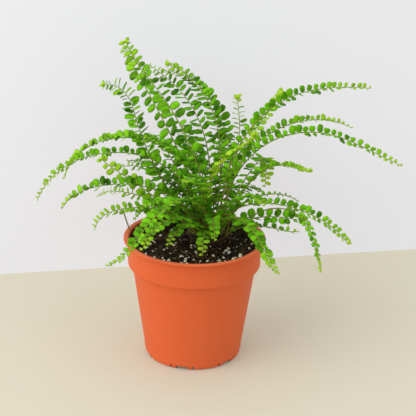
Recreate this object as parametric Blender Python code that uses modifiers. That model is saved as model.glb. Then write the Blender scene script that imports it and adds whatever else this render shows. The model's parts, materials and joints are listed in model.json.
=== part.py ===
"""Potted button fern: a plastic nursery pot, its potting mix, the crown and every frond.

Metres, +Z up. The origin is the centre of the pot's flat underside, and +X is the plant's
widest direction. Each frond is one closed solid: a thin stalk that widens into a flat blade.
"""
import math
from collections import namedtuple

import bmesh
import bpy
import numpy as np
from mathutils import Vector

MM = 0.001
GAP = 0.3 * MM

# Pot: a 4 inch thin-walled nursery pot.
POT_HEIGHT = 95 * MM
LIP_RADIUS = 54 * MM
LIP_THICKNESS = 1.6 * MM
COLLAR_RADIUS = 50.5 * MM
COLLAR_DROP = 21.2 * MM
STEP_DROP = 0.8 * MM
WALL_TOP_RADIUS = 47.1 * MM
FOOT_RADIUS = 36.4 * MM
FOOT_CORNER = 2.4 * MM
WALL = 1.2 * MM
FLOOR = 1.6 * MM
RING_HEIGHT = 5.2 * MM
RING_PROUD = 0.35 * MM
POT_STEPS = 84

# Drain slots: one wide opening between two narrow ones, repeated around the foot.
DRAIN_COUNT = 6
DRAIN_FIRST_ANGLE = math.radians(-102)
DRAIN_WIDTH = 9.5 * MM
DRAIN_HEIGHT = 2.8 * MM
DRAIN_DEPTH = 11 * MM
SIDE_SLOT_WIDTH = 1.4 * MM
SIDE_SLOT_HEIGHT = 3.2 * MM
SIDE_SLOT_OFFSET = 8.6 * MM

# Potting mix and crown.
SOIL_TOP = 88.6 * MM
SOIL_FLAT_RADIUS = 35 * MM
SOIL_EDGE_RISE = 3.2 * MM
SOIL_RISE_ROWS = 6
SOIL_STEPS = 72
CROWN_CENTRE = Vector((12 * MM, 13 * MM, SOIL_TOP + GAP))
CROWN_RADIUS = 17 * MM
CROWN_HEIGHT = 4.5 * MM
CROWN_STEPS = 40

# Fronds.
STALK_RADIUS = 0.7 * MM
BLADE_THICKNESS = 0.9 * MM
BLADE_HALF_WIDTH = 6.2 * MM
STALK_SHARE = 0.2
FOOT_SPACING = 2.7 * MM
FOOT_REACH = 14 * MM
STATION_SPACING = 8 * MM
CLEARANCE = 0.5 * MM
SAMPLES = 140
SPREAD_ROUNDS = 400
SPREAD_LIMIT = 0.01 * MM
SHORTEST_WIDTH_SHARE = 0.45
FULL_WIDTH_LENGTH = 120
OPENING_SHARE = 0.12
CLOSING_SHARE = 0.25
CLOSING_POWER = 0.6
TIP_WIDTH_SHARE = 0.25
COMB_TURN = 12
COMB_TIP = 8
COMB_SIZES = (1, 0.8, 0.6, 0.4)
NOD_START = 0.75
NOD_POWER = 1.5

# One row per frond. foot: millimetres from the crown's centre. heading, then swing over the
# length: degrees about Z. rise at the foot and droop at the tip: degrees above level. bend:
# 1 is an even arch, more keeps the stalk straight for longer. nod: the last quarter's extra
# turn. length: millimetres. roll: how far the blade turns about its stalk, degrees.
Frond = namedtuple("Frond", "foot heading swing rise droop bend nod length roll")

FRONDS = (
    # Tall fronds at the back left.
    Frond((-3, 6), 155, -45, 80, 20, 0.8, 0, 174, -55),
    Frond((-2, 3), 150, 0, 88, 27, 1.0, 38, 162, -40),
    Frond((-1, 9), 78, 77, 74, 14, 1.2, 11, 151, -30),
    Frond((3, 10), 60, 95, 80, 9, 1.2, -16, 154, -20),
    Frond((5, 7), 48, 130, 60, 36, 1.0, -19, 154, -30),
    Frond((-9, 3), 180, -20, 52, 86, 1.4, -110, 141, -75),
    # Arching fronds on the left.
    Frond((-1, 0), 193, 0, 87, -58, 1.3, -21, 173, -30),
    Frond((-5, -3), 197, 15, 85, -44, 1.0, -23, 184, -30),
    Frond((-7, -5), 201, -30, 80, -40, 0.8, -22, 134, -30),
    Frond((-9, 5), 165, -4, 73, -18, 1.2, -24, 92, 0),
    Frond((-12, 1), 176, -34, 61, -22, 0.7, -24, 96, 0),
    Frond((-11, -4), 181, -34, 64, -49, 0.7, -27, 101, 10),
    # Arching fronds on the right.
    Frond((7, 3), 15, -31, 90, -21, 1.5, 22, 187, 45),
    Frond((9, -2), -25, -5, 90, -48, 1.2, 34, 202, 50),
    Frond((5, 5), 18, -31, 83, -20, 1.4, -4, 155, 40),
    Frond((7, 9), 60, 40, 69, 4, 1.1, 40, 123, 0),
    Frond((12, 2), 5, -70, 76, -38, 1.8, 55, 116, 0),
    Frond((9, 9), 38, 60, 73, -85, 1.2, 0, 134, 0),
    Frond((4, -3), -34, 17, 88, -38, 0.6, -12, 129, 40),
    Frond((10, -1), -1, 1, 69, -21, 0.5, 19, 70, 50),
    Frond((12, -3), -12, -72, 49, -85, 1.6, 53, 128, 70),
    Frond((11, -6), -17, 7, 65, -21, 0.5, 35, 61, 0),
    # Fronds that fall over the front of the rim.
    Frond((3, -9), -58, -3, 78, -62, 0.8, 44, 107, 0),
    Frond((-2, -9), 250, -32, 89, -78, 0.9, 74, 148, 0),
    Frond((-6, -9), 230, 0, 70, -50, 1.0, -13, 84, 0),
    # Short fronds behind.
    Frond((-7, 8), 140, -25, 64, 17, 1.1, -37, 95, 0),
    Frond((-4, 11), 112, -20, 64, -19, 0.8, 48, 128, 0),
    Frond((4, 12), 80, 10, 74, -40, 1.2, -20, 125, 0),
    Frond((0, 12), 98, 10, 66, -45, 1.1, -10, 108, 0),
)

YOUNG_FRONDS = (
    Frond((-7, -6), -61, 25, 90, 13, 1.4, 34, 112, 40),
    Frond((9, 5), 33, 5, 86, 28, 1.3, 19, 118, 40),
    Frond((-13, -1), 173, -4, 47, 23, 1.1, 18, 91, 0),
    Frond((-3, -10), 236, 3, 72, -47, 1.0, 4, 63, 0),
    Frond((-1, -12), 258, 10, 70, -60, 1.0, -20, 48, 0),
)

# The tuft of small fronds that fills the middle, spaced by the golden angle.
TUFT_COUNT = 14
TUFT_TURN = 137.5
TUFT_FIRST_HEADING = 200
TUFT_FOOT = (3, 11)
TUFT_LENGTH = (104, 62)
TUFT_RISE = (86, 68)
TUFT_DROOP = (25, -50)
TUFT_BEND = 1.2
TUFT_NOD = -10


def new_collection(name):
    """Makes a collection in the scene."""
    collection = bpy.data.collections.new(name)
    bpy.context.scene.collection.children.link(collection)
    return collection


def make_material(name, colour, roughness):
    """Makes a Principled BSDF material."""
    material = bpy.data.materials.new(name)
    material.use_nodes = True
    shader = material.node_tree.nodes["Principled BSDF"]
    shader.inputs["Base Color"].default_value = (*colour, 1)
    shader.inputs["Roughness"].default_value = roughness
    shader.inputs["Metallic"].default_value = 0
    return material


def add_object(name, mesh, collection, material=None):
    """Links a mesh as a named object."""
    obj = bpy.data.objects.new(name, mesh)
    collection.objects.link(obj)
    if material:
        mesh.materials.append(material)
    return obj


def turned(name, profile, steps, collection, material):
    """Turns a profile of (radius, height) points about Z with a Screw modifier."""
    mesh = bpy.data.meshes.new(name)
    points = [(radius, 0, height) for radius, height in profile]
    edges = [(i, i + 1) for i in range(len(points) - 1)]
    mesh.from_pydata(points, edges, [])
    obj = add_object(name, mesh, collection, material)
    screw = obj.modifiers.new("turn", "SCREW")
    screw.steps = steps
    screw.render_steps = steps
    screw.use_merge_vertices = True
    screw.merge_threshold = 0.01 * MM
    return obj


def arc(centre, radius, start, end, count):
    """Points on a circular arc in the profile's plane, from one angle to another in degrees."""
    points = []
    for i in range(count + 1):
        angle = math.radians(start + (end - start) * i / count)
        points.append((centre[0] + radius * math.cos(angle), centre[1] + radius * math.sin(angle)))
    return points


def outer_wall_radius(height):
    """The pot's outer radius on its tapered wall."""
    step_bottom = POT_HEIGHT - COLLAR_DROP - STEP_DROP
    return FOOT_RADIUS + (WALL_TOP_RADIUS - FOOT_RADIUS) * height / step_bottom


def pot_profile():
    """The pot's section: up the inside, over the lip, down the outside and under the floor."""
    step_top = POT_HEIGHT - COLLAR_DROP
    step_bottom = step_top - STEP_DROP
    lip_under = POT_HEIGHT - LIP_THICKNESS
    lip_round = LIP_THICKNESS / 2
    corner = (outer_wall_radius(FOOT_CORNER) - FOOT_CORNER, FOOT_CORNER)
    inside = [
        (0, FLOOR),
        (outer_wall_radius(FLOOR) - WALL - FOOT_CORNER, FLOOR),
        (outer_wall_radius(FLOOR + FOOT_CORNER) - WALL, FLOOR + FOOT_CORNER),
        (WALL_TOP_RADIUS - WALL, step_bottom + WALL),
        (COLLAR_RADIUS - WALL, step_top + WALL),
        (COLLAR_RADIUS - WALL, lip_under - WALL),
    ]
    lip_bend = (COLLAR_RADIUS + 2 * WALL / 3, lip_under - WALL / 2)
    lip_inner = arc(lip_bend, LIP_THICKNESS + WALL / 2, 165, 100, 3)
    lip_outer = arc((LIP_RADIUS - lip_round, POT_HEIGHT - lip_round), lip_round, 90, -90, 5)
    outside = [
        (COLLAR_RADIUS + WALL, lip_under),
        (COLLAR_RADIUS, lip_under - WALL),
        (COLLAR_RADIUS, step_top + WALL),
        (COLLAR_RADIUS - WALL / 4, step_top + WALL / 4),
        (COLLAR_RADIUS - WALL, step_top),
        (WALL_TOP_RADIUS, step_bottom),
    ]
    ring = [
        (outer_wall_radius(RING_HEIGHT + 2 * RING_PROUD), RING_HEIGHT + 2 * RING_PROUD),
        (outer_wall_radius(RING_HEIGHT) + RING_PROUD, RING_HEIGHT),
        (outer_wall_radius(RING_HEIGHT - 2 * RING_PROUD), RING_HEIGHT - 2 * RING_PROUD),
    ]
    foot = arc(corner, FOOT_CORNER, 0, -90, 4)
    return inside + lip_inner + lip_outer + outside + ring + foot + [(0, 0)]


def slot_cutter(name, angle, width, height, collection):
    """A block across the foot of the wall, at an angle about Z."""
    bpy.ops.mesh.primitive_cube_add(size=1)
    cutter = bpy.context.object
    cutter.name = name
    for vertex in cutter.data.vertices:
        vertex.co.x *= DRAIN_DEPTH
        vertex.co.y *= width
        vertex.co.z *= 2 * height
    cutter.location = (FOOT_RADIUS * math.cos(angle), FOOT_RADIUS * math.sin(angle), 0)
    cutter.rotation_euler.z = angle
    for other in list(cutter.users_collection):
        other.objects.unlink(cutter)
    collection.objects.link(cutter)
    cutter.hide_render = True
    cutter.display_type = "WIRE"
    return cutter


def make_pot(collection, cutters):
    """The pot with its ring of drain slots."""
    material = make_material("terracotta_plastic", (0.76, 0.16, 0.05), 0.5)
    pot = turned("pot", pot_profile(), POT_STEPS, collection, material)
    for i in range(DRAIN_COUNT):
        angle = DRAIN_FIRST_ANGLE + i * math.tau / DRAIN_COUNT
        side_turn = SIDE_SLOT_OFFSET / FOOT_RADIUS
        slots = (
            (angle, DRAIN_WIDTH, DRAIN_HEIGHT),
            (angle - side_turn, SIDE_SLOT_WIDTH, SIDE_SLOT_HEIGHT),
            (angle + side_turn, SIDE_SLOT_WIDTH, SIDE_SLOT_HEIGHT),
        )
        for k, (slot_angle, width, height) in enumerate(slots):
            name = f"drain_cutter_{i + 1}_{k + 1}"
            cut = pot.modifiers.new(name, "BOOLEAN")
            cut.operation = "DIFFERENCE"
            cut.object = slot_cutter(name, slot_angle, width, height, cutters)
    return pot


def make_soil(collection):
    """The potting mix: a plug that fills the pot and rises a little to its wall."""
    step_top = POT_HEIGHT - COLLAR_DROP + WALL + GAP
    step_bottom = step_top - STEP_DROP
    edge_radius = COLLAR_RADIUS - WALL - GAP
    inset = WALL + 1.5 * GAP
    low = SIDE_SLOT_HEIGHT + GAP
    profile = [(0, SOIL_TOP)]
    for i in range(SOIL_RISE_ROWS + 1):
        share = i / SOIL_RISE_ROWS
        radius = SOIL_FLAT_RADIUS + (edge_radius - SOIL_FLAT_RADIUS) * share
        rise = SOIL_EDGE_RISE * (1 - math.cos(math.pi * share)) / 2
        profile.append((radius, SOIL_TOP + rise))
    profile += [
        (edge_radius, step_top),
        (WALL_TOP_RADIUS - inset, step_bottom),
        (outer_wall_radius(low) - WALL - FOOT_CORNER, low),
        (0, low),
    ]
    material = make_material("potting_mix", (0.035, 0.02, 0.012), 0.95)
    return turned("soil", profile, SOIL_STEPS, collection, material)


def crown_height(radius):
    """Height of the crown's dome above its flat underside."""
    share = min(radius / CROWN_RADIUS, 1)
    return CROWN_HEIGHT * math.sqrt(1 - share * share)


def make_crown(collection):
    """The low fibrous crown that carries the fronds."""
    rings = 6
    profile = []
    for i in range(rings + 1):
        radius = CROWN_RADIUS * math.sin(math.pi / 2 * i / rings)
        profile.append((radius, crown_height(radius)))
    profile.append((0, 0))
    material = make_material("crown_fibre", (0.1, 0.055, 0.025), 0.9)
    crown = turned("rhizome_crown", profile, CROWN_STEPS, collection, material)
    crown.location = CROWN_CENTRE
    return crown


def tuft():
    """Rows for the small fronds in the middle, from the innermost outwards."""
    rows = []
    for i in range(TUFT_COUNT):
        share = i / (TUFT_COUNT - 1)
        heading = TUFT_FIRST_HEADING + TUFT_TURN * i
        reach = TUFT_FOOT[0] + (TUFT_FOOT[1] - TUFT_FOOT[0]) * math.sqrt(share)
        foot = (reach * math.cos(math.radians(heading)), reach * math.sin(math.radians(heading)))
        rise, droop, length = (
            ends[0] + (ends[1] - ends[0]) * share for ends in (TUFT_RISE, TUFT_DROOP, TUFT_LENGTH)
        )
        rows.append(Frond(foot, heading, 0, rise, droop, TUFT_BEND, TUFT_NOD, length, 0))
    return rows


def spread_feet(rows):
    """Moves the feet apart until neighbours leave room for each other's stalks."""
    feet = np.array([row.foot for row in rows], float) * MM
    for _ in range(SPREAD_ROUNDS):
        apart = feet[:, None] - feet[None]
        distance = np.linalg.norm(apart, axis=2) + np.eye(len(feet))
        push = np.clip(FOOT_SPACING - distance, 0, None)
        np.fill_diagonal(push, 0)
        if push.max() < SPREAD_LIMIT:
            break
        feet += 0.5 * (apart / distance[..., None] * push[..., None]).sum(axis=1)
        reach = np.linalg.norm(feet, axis=1, keepdims=True)
        feet *= np.minimum(1, FOOT_REACH / reach)
    return feet


def frond_path(row, foot, count):
    """The stalk's line: count points of an arch that starts on the crown."""
    share = (np.arange(count - 1) + 0.5) / (count - 1)
    nod = np.clip((share - NOD_START) / (1 - NOD_START), 0, 1) ** NOD_POWER
    climb = np.radians(row.rise + (row.droop - row.rise) * share ** row.bend + row.nod * nod)
    heading = np.radians(row.heading + row.swing * share)
    steps = np.stack(
        (np.cos(climb) * np.cos(heading), np.cos(climb) * np.sin(heading), np.sin(climb)), axis=1
    )
    lift = crown_height(math.hypot(*foot)) + GAP + STALK_RADIUS * math.cos(math.radians(row.rise))
    start = np.array(CROWN_CENTRE) + np.array((foot[0], foot[1], lift))
    travel = np.cumsum(steps * row.length * MM / (count - 1), axis=0)
    return np.vstack((start, start + travel))


def nearest(points, others):
    """Distance from each point to the nearest of the other points."""
    return np.linalg.norm(points[:, None] - others[None], axis=2).min(axis=1)


def comb(rows, feet):
    """Turns, tips or shortens each frond as little as keeps it off the ones before it.

    A frond that finds no clear way is left out.
    """
    combed = []
    paths = []
    room = 2 * STALK_RADIUS + CLEARANCE
    turns = range(-COMB_TURN, COMB_TURN + 1)
    tips = range(-COMB_TIP, 1)
    moves = [(turn, tip) for turn in turns for tip in tips]
    moves.sort(key=lambda move: (math.hypot(*move), move))
    tries = [(size, turn, tip) for size in COMB_SIZES for turn, tip in moves]
    for row, foot in zip(rows, feet):
        for size, turn, tip in tries:
            moved = row._replace(
                heading=row.heading + turn, rise=row.rise + tip, length=row.length * size
            )
            path = frond_path(moved, foot, SAMPLES)
            if all(nearest(path, other).min() >= room for other in paths):
                break
        else:
            continue
        combed.append(moved)
        paths.append(path)
    return combed, paths


def full_half_width(row, share):
    """Half the blade's width along the frond, before its neighbours narrow it."""
    grown = SHORTEST_WIDTH_SHARE + (1 - SHORTEST_WIDTH_SHARE) * row.length / FULL_WIDTH_LENGTH
    opening = np.clip((share - STALK_SHARE) / OPENING_SHARE, 0, 1)
    closing = np.clip((1 - share) / CLOSING_SHARE, 0, 1) ** CLOSING_POWER
    taper = TIP_WIDTH_SHARE + (1 - TIP_WIDTH_SHARE) * closing
    return np.maximum(STALK_RADIUS, BLADE_HALF_WIDTH * min(1, grown) * opening * taper)


def blade_widths(rows, paths):
    """Half widths along every frond, narrowed wherever another frond passes close by."""
    share = np.linspace(0, 1, SAMPLES)
    widths = [np.full(SAMPLES, STALK_RADIUS) for _ in rows]
    for i, row in enumerate(rows):
        width = full_half_width(row, share)
        for k, other in enumerate(paths):
            if k == i:
                continue
            distance = np.linalg.norm(paths[i][:, None] - other[None], axis=2)
            width = np.minimum(width, (distance - widths[k][None]).min(axis=1) - CLEARANCE)
        width = np.minimum(width, np.minimum(np.roll(width, 1), np.roll(width, -1)))
        widths[i] = np.maximum(width, STALK_RADIUS)
    return widths


def frond_mesh(name, row, path, width):
    """A closed blade around the path, with a four-sided section at each station."""
    count = max(8, round(row.length * MM / STATION_SPACING) + 1)
    picks = np.linspace(0, SAMPLES - 1, count).round().astype(int)
    mesh = bpy.data.meshes.new(name)
    bm = bmesh.new()
    rings = []
    for pick in picks:
        ahead = Vector(path[min(pick + 1, SAMPLES - 1)])
        behind = Vector(path[max(pick - 1, 0)])
        along = (ahead - behind).normalized()
        heading = math.radians(row.heading + row.swing * pick / SAMPLES)
        level = Vector((-math.sin(heading), math.cos(heading), 0))
        face = along.cross(level).normalized()
        roll = math.radians(row.roll) * min(1, 2 * pick / SAMPLES)
        side = level * math.cos(roll) + face * math.sin(roll)
        face = along.cross(side).normalized()
        window = slice(max(0, pick - 2), pick + 3)
        half = float(width[window].min())
        depth = max(BLADE_THICKNESS / 2, STALK_RADIUS if half <= STALK_RADIUS else 0)
        centre = Vector(path[pick])
        corners = (side * half, face * depth, -side * half, -face * depth)
        rings.append([bm.verts.new(centre + corner) for corner in corners])
    for first, second in zip(rings, rings[1:]):
        for k in range(4):
            j = (k + 1) % 4
            bm.faces.new((first[k], first[j], second[j], second[k]))
    bm.faces.new(rings[0][::-1])
    bm.faces.new(rings[-1])
    bmesh.ops.recalc_face_normals(bm, faces=bm.faces)
    bm.to_mesh(mesh)
    bm.free()
    return mesh


def make_fronds(collection):
    """Every frond, each in an object of its own."""
    grown = make_material("grown_leaf", (0.09, 0.27, 0.02), 0.5)
    young = make_material("young_leaf", (0.3, 0.55, 0.05), 0.5)
    rows = list(YOUNG_FRONDS) + list(FRONDS) + tuft()
    rows, paths = comb(rows, spread_feet(rows))
    names = [f"young_frond_{i + 1:02d}" for i in range(len(YOUNG_FRONDS))]
    names += [f"frond_{i + 1:02d}" for i in range(len(rows) - len(YOUNG_FRONDS))]
    widths = blade_widths(rows, paths)
    for name, row, path, width in zip(names, rows, paths, widths):
        material = young if name.startswith("young") else grown
        add_object(name, frond_mesh(name, row, path, width), collection, material)


def main():
    """Builds the whole potted fern."""
    for obj in list(bpy.data.objects):
        bpy.data.objects.remove(obj, do_unlink=True)
    collection = new_collection("potted_fern")
    cutters = new_collection("cutters")
    make_pot(collection, cutters)
    make_soil(collection)
    make_crown(collection)
    make_fronds(collection)


main()
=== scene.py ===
import json
import math
import random
from collections import namedtuple
from contextlib import contextmanager

import bmesh
import bpy
from mathutils import Matrix, Vector, noise
from mathutils.bvhtree import BVHTree

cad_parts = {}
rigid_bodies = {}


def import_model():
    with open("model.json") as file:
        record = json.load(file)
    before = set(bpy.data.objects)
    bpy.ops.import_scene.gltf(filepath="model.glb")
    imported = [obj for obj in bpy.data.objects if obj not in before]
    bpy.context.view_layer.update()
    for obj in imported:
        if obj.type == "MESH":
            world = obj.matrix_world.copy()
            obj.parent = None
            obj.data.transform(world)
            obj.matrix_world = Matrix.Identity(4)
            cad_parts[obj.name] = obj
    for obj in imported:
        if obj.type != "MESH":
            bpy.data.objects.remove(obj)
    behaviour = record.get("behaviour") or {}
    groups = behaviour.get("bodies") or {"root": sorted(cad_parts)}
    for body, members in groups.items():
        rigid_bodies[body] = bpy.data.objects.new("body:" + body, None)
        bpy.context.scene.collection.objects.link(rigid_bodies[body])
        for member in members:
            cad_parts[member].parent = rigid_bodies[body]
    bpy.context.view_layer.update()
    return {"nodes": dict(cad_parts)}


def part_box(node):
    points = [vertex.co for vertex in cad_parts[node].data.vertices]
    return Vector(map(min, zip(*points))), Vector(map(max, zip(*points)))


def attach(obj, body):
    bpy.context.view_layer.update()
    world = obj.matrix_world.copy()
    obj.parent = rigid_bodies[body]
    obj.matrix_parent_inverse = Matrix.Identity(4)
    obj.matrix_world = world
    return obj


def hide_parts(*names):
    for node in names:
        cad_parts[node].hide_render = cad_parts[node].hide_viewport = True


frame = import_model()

bl_info = {
    "name": "Potted button fern",
    "version": (1, 0, 0),
    "blender": (4, 5, 0),
    "location": "3D View > Sidebar > Fern",
    "description": "A button fern in a plastic nursery pot, with its potting mix and studio stage",
    "category": "Add Mesh",
}

MM = 0.001
BODY = "root"

# ---------------------------------------------------------------- how each frond looks

# leaflet, spacing and curl are in millimetres, and turn, sweep, roll and fold in degrees.
#   leaflet  length of the longest leaflets
#   spacing  from one leaflet to the next in the same row
#   turn     twists each leaflet about its own axis, until at 90 it faces the frond's tip
#   sweep    leans each leaflet towards the tip
#   roll     turns the whole blade about the stalk
#   youth    0 for dark grown leaves and 1 for lime ones; below 0 the tip stays green too
#   bare     share of the stalk that has no leaflets
#   curl     width of the coil at the tip, or 0 for none
#   fold     lifts both rows of leaflets towards each other, like a V
#   taper    how much smaller and closer the leaflets get towards the tip
Look = namedtuple("Look", "leaflet spacing turn sweep roll youth bare curl fold taper",
                  defaults=(7.2, 4.5, 26, 16, 0, -0.12, 0.11, 0, 14, 0.30))

LOOKS = {
    # Tall, at the back left.
    "frond_01": Look(9.6, 6.7, 8, 12, 0, 0.24, 0.22, 3.8, 6, 0.58),
    "frond_02": Look(8.4, 6.0, 36, 16, 0, 0.14, 0.22, 3.6, 10, 0.55),
    "frond_03": Look(8.4, 5.2, 32, 22, 0, 0.06, 0.22, 0, 16, 0.38),
    "frond_04": Look(7.9, 4.7, 40, 24, 0, 0.00, 0.22, 0, 16, 0.30),
    "frond_05": Look(8.2, 5.4, 28, 20, 0, 0.14, 0.20, 3.2, 10, 0.35),
    "frond_06": Look(8.0, 3.8, 74, 24, 0, 0.06, 0.12, 3.2, 8, 0.15),
    # Arching left.
    "frond_07": Look(6.2, 4.0, 26, 22, 0, 0.16, 0.10, 0, 38, 0.10),
    "frond_08": Look(5.2, 4.4, 18, 24, 0, 0.14, 0.12, 0, 46, 0.20),
    "frond_09": Look(6.6, 4.7, 14, 26, 0, 0.10, 0.14, 0, 42, 0.05),
    "frond_10": Look(5.4, 4.6, 24, 14, -25, 0.16, 0.12, 0, 24),
    "frond_11": Look(4.6, 4.4, 20, 14, -40, 0.34, 0.14, 0, 20),
    "frond_12": Look(5.6, 5.4, 8, 12, -50, 0.36, 0.14, 0, 34, 0.10),
    # Arching right.
    "frond_13": Look(6.2, 5.0, 18, 28, 0, 0.08, 0.20, 0, 40, 0.05),
    "frond_14": Look(5.8, 5.6, 12, 22, 0, 0.06, 0.20, 0, 56, 0.10),
    "frond_15": Look(5.6, 4.4, 16, 26, 0, 0.28, 0.20, 0, 38, 0.15),
    "frond_16": Look(5.8, 6.0, 46, 22, 0, 0.40, 0.20, 4.6, 14, 0.10),
    "frond_17": Look(4.4, 3.6, 40, 20, 0, 0.34, 0.16, 3.0, 34, 0.10),
    "frond_18": Look(7.6, 6.2, 10, 6, 0, 0.24, 0.12, 0, 10, 0),
    "frond_19": Look(5.5, 4.9, 12, 24, 0, 0.12, 0.12, 3.0, 44, 0.20),
    "frond_20": Look(7.2, 6.0, 6, 8, 0, 0.00, 0.10, 0, 40, 0.10),
    "frond_21": Look(4.0, 4.4, 40, 58, 0, 0.20, 0.56, 0, 14),
    "frond_22": Look(6.0, 6.2, 30, 30, 0, 0.10, 0.14, 0, 26, 0.10),
    # Over the front of the rim.
    "frond_23": Look(6.9, 4.3, 8, 26, 0, 0.06, 0.07, 0, 12, 0.30),
    "frond_24": Look(7.2, 5.0, 8, 24, 0, 0.04, 0.07, 0, 20, 0.30),
    "frond_25": Look(7.2, 5.0, 8, 12, 0, 0.06, 0.09, 0, 12),
    # Short, near the crown.
    "frond_39": Look(6.0, 4.6, 30, 20, 0, -0.30, 0.12, 0, 24),
    "frond_37": Look(4.2, 4.6, 50, 30, 0, -0.20, 0.14, 0, 24),
    # Young and lime green.
    "young_frond_01": Look(7.6, 4.6, 14, 20, 0, 0.85, 0.17, 4.4, 24),
    "young_frond_02": Look(5.2, 4.6, 14, 26, 0, 0.60, 0.28, 6.2, 26),
    "young_frond_03": Look(6.6, 7.0, 10, 12, -50, 0.50, 0.16, 3.0, 10, 0.15),
    "young_frond_04": Look(6.4, 5.0, 10, 12, 0, 0.12, 0.09, 0, 12),
    "young_frond_05": Look(6.0, 5.0, 10, 12, 0, 0.18, 0.09, 0, 12),
}
PLAIN_LOOK = Look()
JOIN_REACH = 1e-6  # Points of a CAD mesh this close are one point.


# ---------------------------------------------------------------- sizes and colours

def colour_property(name, description, default):
    return bpy.props.FloatVectorProperty(name=name, description=description, default=default,
                                         subtype="COLOR", size=3, min=0, max=1)


def length_property(name, description, default):
    return bpy.props.FloatProperty(name=name, description=description, default=default,
                                   min=0, unit="LENGTH", precision=5)


class FernLeafSettings(bpy.types.PropertyGroup):
    """Sizes and colours of the fronds."""
    leaflet_width: bpy.props.FloatProperty(
        name="Leaflet width", description="Width of a leaflet as a share of its length",
        default=0.80, min=0.2, max=1.2, subtype="FACTOR")
    stalk_radius: length_property("Stalk radius", "Radius of a stalk at the crown", 0.62 * MM)
    tip_radius: length_property("Tip radius", "Radius of a stalk at its tip", 0.26 * MM)
    grown_dark: colour_property("Grown, dark", "Darkest grown leaflets", (0.008, 0.080, 0.001))
    grown_bright: colour_property(
        "Grown, bright", "Brightest grown leaflets", (0.208, 0.600, 0.007))
    young_lime: colour_property("Young", "Newest leaflets at the tips", (0.400, 0.630, 0.030))
    stalk_brown: colour_property("Stalk, foot", "Stalks at the crown", (0.200, 0.195, 0.036))
    stalk_green: colour_property("Stalk, tip", "Stalks at the tips", (0.260, 0.360, 0.035))


class FernPotSettings(bpy.types.PropertyGroup):
    """Finish of the nursery pot."""
    plastic: colour_property("Plastic", "Terracotta coloured plastic", (0.712, 0.120, 0.030))
    # Scuffs and tone drift are real wear; the same paler colour also paints a highlight along the
    # top of the lip.
    plastic_scuffs_and_highlight: colour_property("Scuffs", "Paler scuffed plastic", (0.820, 0.230, 0.100))
    # Painted shade: the plastic inside the rim is darkened because it faces away from the light,
    # not because it is damp.
    inner: colour_property("Inside", "Damp plastic inside the rim", (0.300, 0.026, 0.008))
    # Painted shade: the drain slots are darkened to stand for the shade in their recess, not for
    # dirt.
    drain_shade: colour_property(
        "Drain slots", "Dirt inside the drain slots", (0.045, 0.010, 0.005))


class FernSoilSettings(bpy.types.PropertyGroup):
    """Sizes and colours of the potting mix and the crown."""
    crumb_height: length_property("Crumb height", "How far the surface rises and falls", 1.9 * MM)
    perlite_size: length_property("Perlite size", "Widest perlite grain", 3.8 * MM)
    perlite_density: bpy.props.FloatProperty(
        name="Perlite", description="Grains on a square metre where they lie thickest",
        default=62000, min=0)
    mix_dark: colour_property("Mix, dark", "Damp peat", (0.010, 0.006, 0.002))
    mix_brown: colour_property("Mix, brown", "Drier crumbs", (0.100, 0.050, 0.014))
    perlite: colour_property("Perlite", "White grains", (0.820, 0.760, 0.560))
    perlite_stain: colour_property("Stained perlite", "Grains gone tan", (0.620, 0.500, 0.280))
    straw: colour_property("Straw", "The palest chips and dry stalks", (0.420, 0.320, 0.120))
    fibre: colour_property("Fibre", "Crown fibres and old stalks", (0.150, 0.095, 0.032))


class FernStageSettings(bpy.types.PropertyGroup):
    """Floor, wall and lights."""
    floor: colour_property("Floor", "Pale sand coloured table", (0.700, 0.655, 0.510))
    wall: colour_property("Wall", "Pale grey wall", (0.875, 0.902, 0.985))
    key_power: bpy.props.FloatProperty(
        name="Key light", description="Power of the large soft light", default=17, min=0,
        unit="POWER")
    sky: bpy.props.FloatProperty(
        name="Fill", description="Strength of the even light from all round", default=0.86, min=0)


# ---------------------------------------------------------------- small helpers

def add_object(name, mesh):
    piece = bpy.data.objects.new(name, mesh)
    bpy.context.scene.collection.objects.link(piece)
    return piece


@contextmanager
def edited(mesh):
    """A mesh's points, edges and faces, opened for work and then put back."""
    bm = bmesh.new()
    bm.from_mesh(mesh)
    yield bm
    bm.to_mesh(mesh)
    bm.free()


def mesh_from(name, verts, faces):
    """A smooth mesh whose faces all point outwards."""
    mesh = bpy.data.meshes.new(name)
    mesh.from_pydata([tuple(v) for v in verts], [], faces)
    with edited(mesh) as bm:
        bmesh.ops.recalc_face_normals(bm, faces=bm.faces)
    mesh.shade_smooth()
    return mesh


def turns(steps):
    """Cosine and sine of evenly spaced angles round a circle."""
    angles = [math.tau * step / steps for step in range(steps)]
    return [(math.cos(angle), math.sin(angle)) for angle in angles]


def settle(piece, slot, *nodes):
    """Rides a finished piece on the pot and hides the CAD nodes it stands for; the finish it is
    given is not used.
    """
    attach(piece, BODY)
    if nodes:
        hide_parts(*nodes)


def merged_copy(node, name, sharp_angle):
    """A smooth copy of a CAD node, with its loose triangles joined."""
    mesh = frame["nodes"][node].data.copy()
    mesh.name = name
    with edited(mesh) as bm:
        bmesh.ops.remove_doubles(bm, verts=bm.verts, dist=JOIN_REACH)
        bmesh.ops.recalc_face_normals(bm, faces=bm.faces)
    custom_normals = mesh.attributes.get("custom_normal")
    if custom_normals:
        mesh.attributes.remove(custom_normals)
    mesh.shade_smooth()
    mesh.set_sharp_from_angle(angle=math.radians(sharp_angle))
    return mesh


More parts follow.
